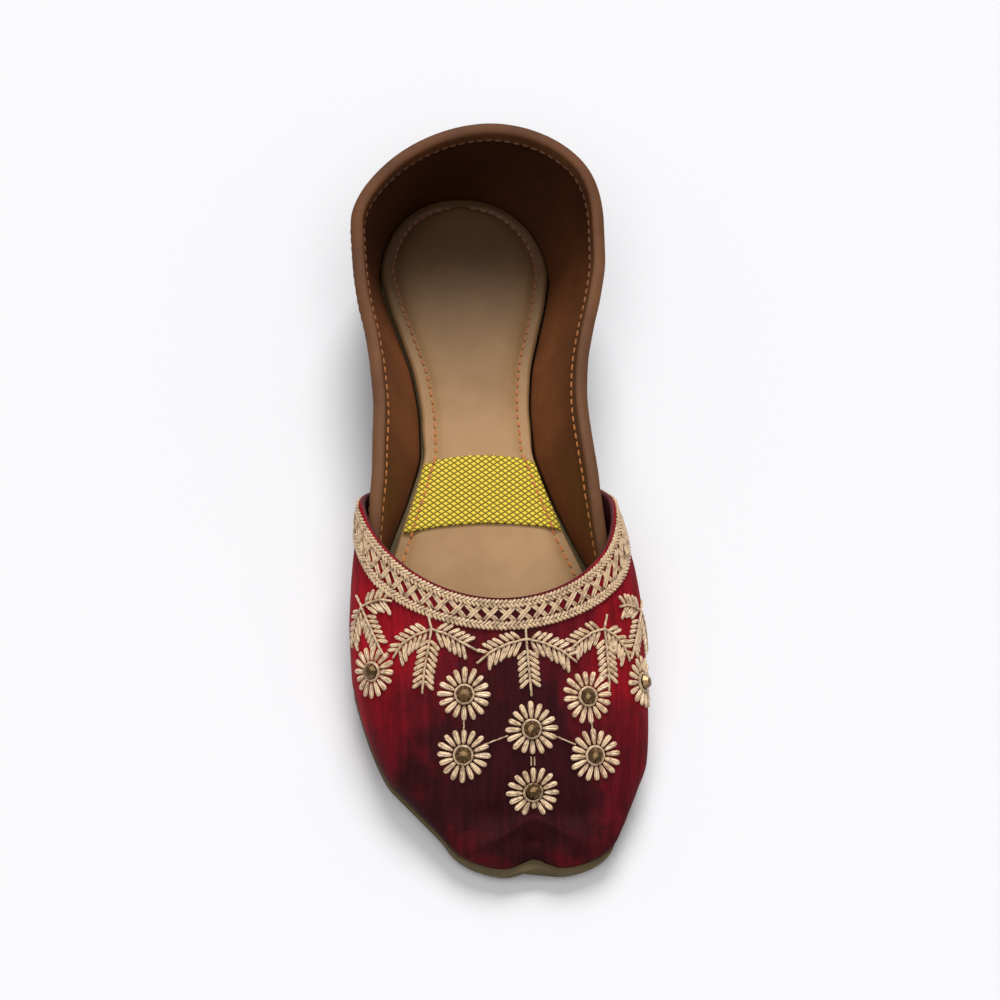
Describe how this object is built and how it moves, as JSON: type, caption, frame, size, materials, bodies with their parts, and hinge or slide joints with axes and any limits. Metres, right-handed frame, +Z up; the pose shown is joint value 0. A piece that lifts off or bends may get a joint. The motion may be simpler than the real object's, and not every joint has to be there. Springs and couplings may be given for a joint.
{
  "type": "mojari shoe",
  "caption": "Flat slip-on mojari shoe with a silk vamp, gold thread collar band and flowers, a heart-notched toe and a padded leather sock.",
  "frame": {"origin": "centre of the shoe's outline, on the floor", "axes": "+Y along the foot from the toe to the heel, +X across to the inner side of a right foot, +Z up"},
  "size_m": [0.0912, 0.2416, 0.0499],
  "materials": {
    "sole_leather": "smooth, matte",
    "silk": "slubbed shot silk with a soft sheen",
    "lining_leather": "smooth, semi-matte",
    "sock_leather": "smooth, satin",
    "binding_leather": "smooth, satin",
    "gold_thread": "twisted metallic thread",
    "yellow_weave": "coarse woven",
    "orange_thread": "waxed thread",
    "bead": "faceted, dull bronze"
  },
  "bodies": {
    "root": {"outsole": "sole_leather", "upper": "silk", "insole": "sock_leather", "topline_binding": "binding_leather", "vamp_band": "gold_thread", "insole_strip": "yellow_weave", "bead_1": "bead", "bead_2": "bead", "bead_3": "bead", "bead_4": "bead", "bead_5": "bead", "bead_6": "bead", "bead_7": "bead", "bead_8": "bead"}
  },
  "joints": []
}
